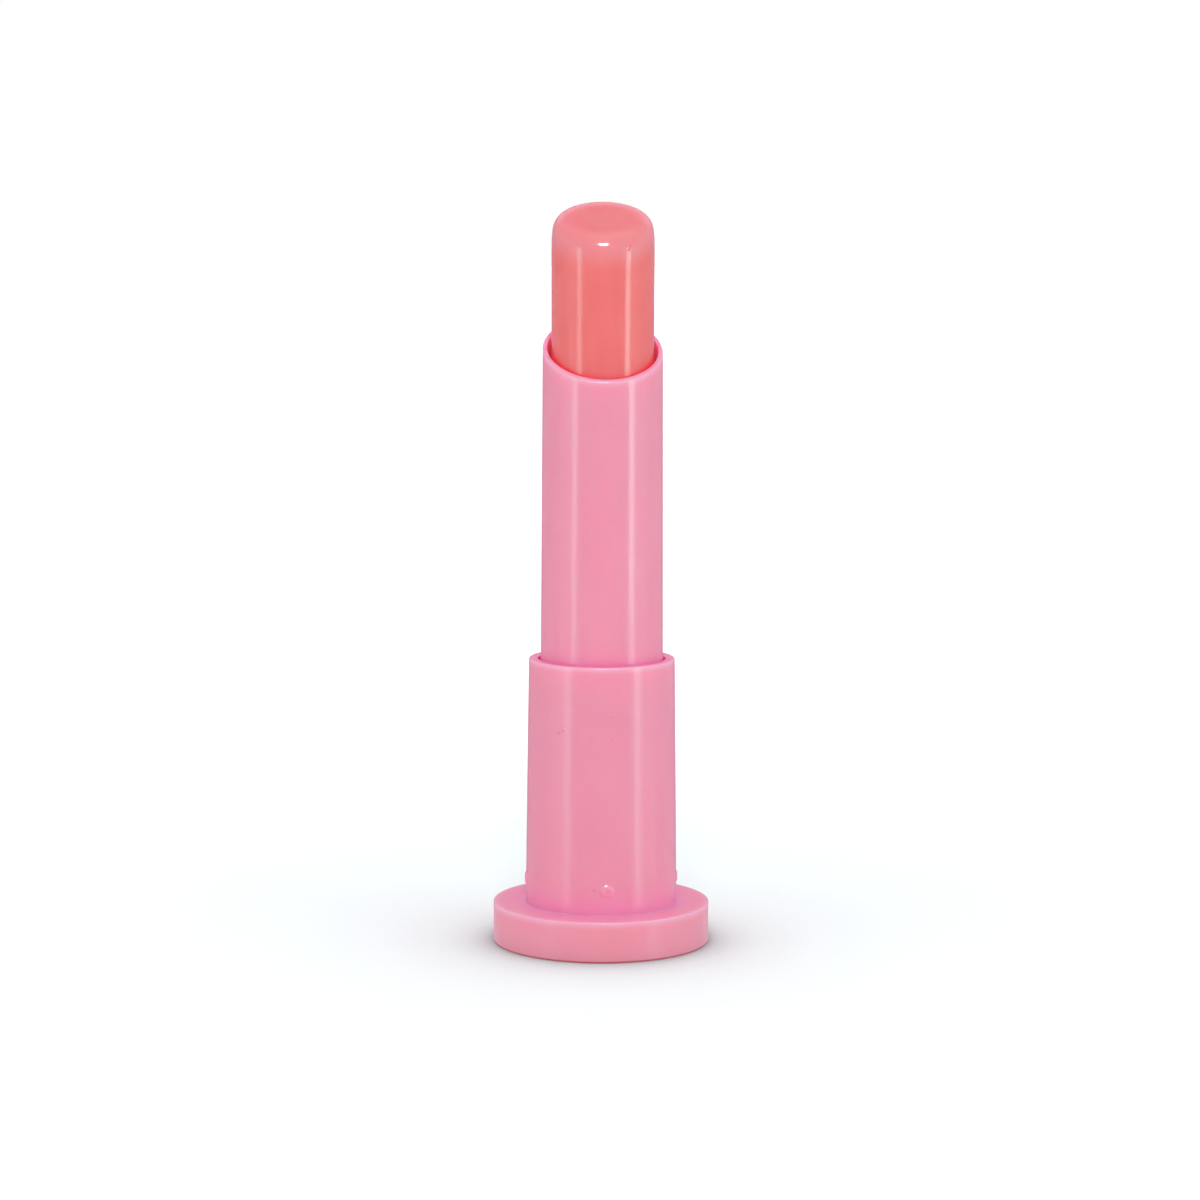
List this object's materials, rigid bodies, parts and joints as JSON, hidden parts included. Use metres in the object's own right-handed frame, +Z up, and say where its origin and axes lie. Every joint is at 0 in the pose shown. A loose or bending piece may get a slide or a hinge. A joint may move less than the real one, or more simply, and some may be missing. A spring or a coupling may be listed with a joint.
{
  "type": "twist-up lip balm stick",
  "caption": "Slim twist-up lip balm stick, uncapped and wound out: a round foot disc, a base tube with snap bumps, a slanted sleeve and a slanted balm bullet.",
  "frame": {"origin": "middle of the foot disc's underside, on the plane that the stick stands on", "axes": "+Z up along the stick's axis; both slanted faces, of the sleeve's rim and of the balm, are low towards -Y, the front; at rest the balm is wound fully out"},
  "size_m": [0.0236, 0.0236, 0.0807],
  "materials": {
    "foot_plastic": "gloss",
    "tube_plastic": "gloss",
    "sleeve_plastic": "gloss",
    "inner_plastic": "satin",
    "balm_wax": "satin",
    "ring_rubber": "matte"
  },
  "bodies": {
    "base": {"foot_disc": "foot_plastic", "base_tube": "tube_plastic", "spiral_tube": "inner_plastic"},
    "sleeve": {"guide_sleeve": "sleeve_plastic", "drag_ring": "ring_rubber"},
    "carrier": {"carrier_cup": "inner_plastic", "balm_stick": "balm_wax"}
  },
  "joints": [
    {"name": "sleeve_turn", "type": "hinge", "parent": "base", "child": "sleeve", "pos_m": [0, 0, 0.0155], "axis": [0, 0, 1], "range_deg": [-450, 0]},
    {"name": "balm_rise", "type": "slide", "parent": "sleeve", "child": "carrier", "axis": [0, 0, 1], "range_m": [-0.0175, 0]}
  ],
  "couplings": [
    {"joint": "balm_rise", "follows": "sleeve_turn", "m_per_rad": 0.0022282}
  ]
}
